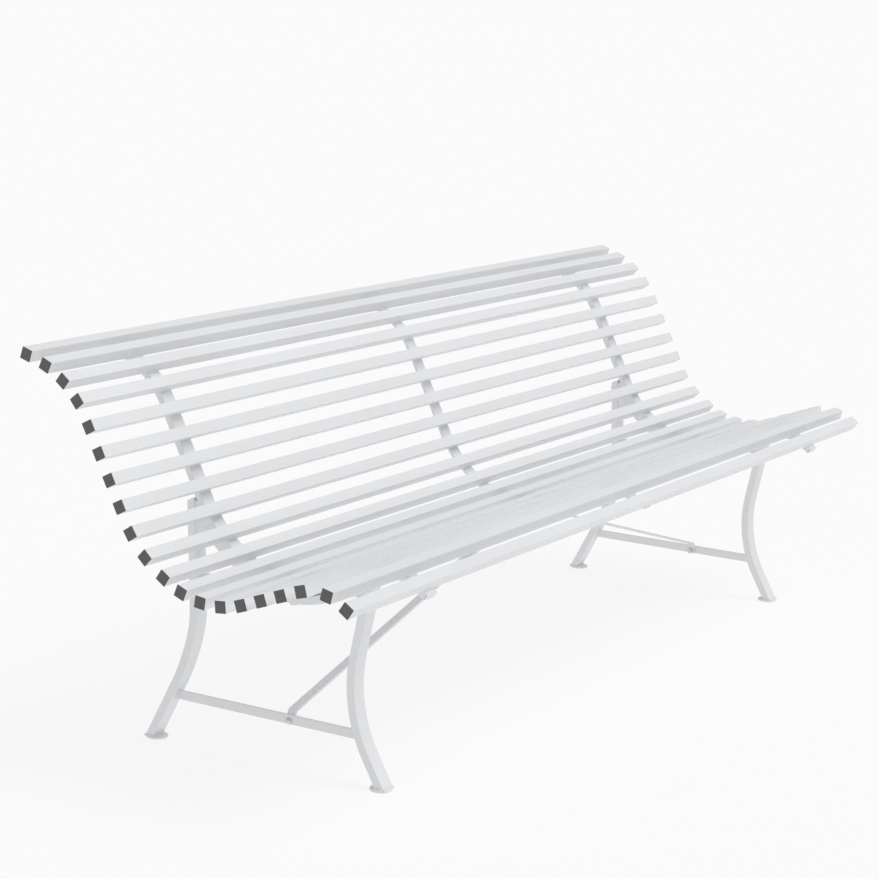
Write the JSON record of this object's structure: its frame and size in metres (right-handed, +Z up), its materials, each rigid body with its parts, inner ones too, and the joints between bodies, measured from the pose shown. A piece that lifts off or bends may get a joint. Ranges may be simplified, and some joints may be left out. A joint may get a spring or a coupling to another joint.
{
  "type": "garden_bench",
  "caption": "Long white powder-coated steel garden bench: square-tube slats on three bent rails, two tube end frames with curved legs, disc feet and braces up to the middle rail.",
  "frame": {"origin": "On the ground, below the middle of the overall box in X and Y; Z up.", "axes": "X runs along the slats, +Y to the back of the bench, +Z up; left is -X."},
  "size_m": [2, 0.6508, 0.6922],
  "materials": {
    "coated_steel": "white powder coat, fine orange peel, low sheen",
    "cap_plastic": "dark grey moulded polyethylene, fine grain",
    "zinc_steel": "bright zinc plating",
    "bolt_steel": "stainless, turned"
  },
  "bodies": {
    "root": {"slat_01": "coated_steel", "slat_02": "coated_steel", "slat_03": "coated_steel", "slat_04": "coated_steel", "slat_05": "coated_steel", "slat_06": "coated_steel", "slat_07": "coated_steel", "slat_08": "coated_steel", "slat_09": "coated_steel", "slat_10": "coated_steel", "slat_11": "coated_steel", "slat_12": "coated_steel", "slat_13": "coated_steel", "slat_14": "coated_steel", "slat_15": "coated_steel", "slat_16": "coated_steel", "slat_17": "coated_steel", "slat_18": "coated_steel", "slat_19": "coated_steel", "slat_20": "coated_steel", "rail_left": "coated_steel", "rail_centre": "coated_steel", "rail_right": "coated_steel", "rail_plugs": "coated_steel", "rear_leg_left": "coated_steel", "rear_leg_right": "coated_steel", "front_leg_left": "coated_steel", "front_leg_right": "coated_steel", "seat_bearer_left": "coated_steel", "seat_bearer_right": "coated_steel", "stretcher_left": "coated_steel", "stretcher_right": "coated_steel", "foot_disc_rear_left": "coated_steel", "foot_disc_rear_right": "coated_steel", "foot_disc_front_left": "coated_steel", "foot_disc_front_right": "coated_steel", "seat_spacers": "coated_steel", "back_blocks": "coated_steel", "brace_left": "coated_steel", "brace_right": "coated_steel", "slat_caps_left": "cap_plastic", "slat_caps_right": "cap_plastic", "rivet_nuts": "zinc_steel", "seat_bolts": "bolt_steel", "back_bolts": "bolt_steel", "stretcher_bolts": "bolt_steel", "stretcher_nuts": "bolt_steel", "centre_bolt": "bolt_steel", "centre_nut": "bolt_steel"}
  },
  "joints": []
}
